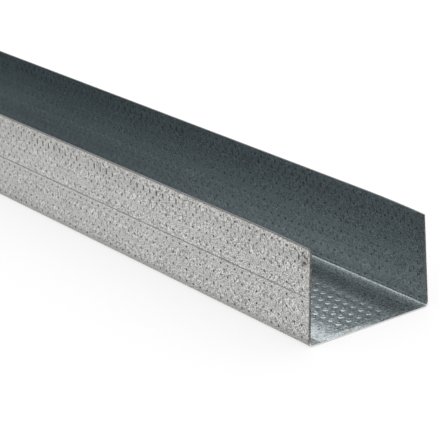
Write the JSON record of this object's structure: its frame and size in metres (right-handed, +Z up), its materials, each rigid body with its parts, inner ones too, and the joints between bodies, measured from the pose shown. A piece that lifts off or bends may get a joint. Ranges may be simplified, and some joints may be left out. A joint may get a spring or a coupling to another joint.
{
  "type": "drywall track",
  "caption": "Roll-formed U-shaped floor and ceiling track of thin galvanised sheet, dimpled all over, with flanges that lean in slightly and a raised web.",
  "frame": {"origin": "middle of the length and width, at the level that the web's flat strips lie on", "axes": "+X along the length, +Y across the web, +Z up out of the open side of the U"},
  "size_m": [2.6, 0.06, 0.04],
  "materials": {
    "galvanised_sheet": "satin hot-dip zinc, lightly speckled, dimpled on both sides"
  },
  "bodies": {
    "root": {"track_profile": "galvanised_sheet"}
  },
  "joints": []
}
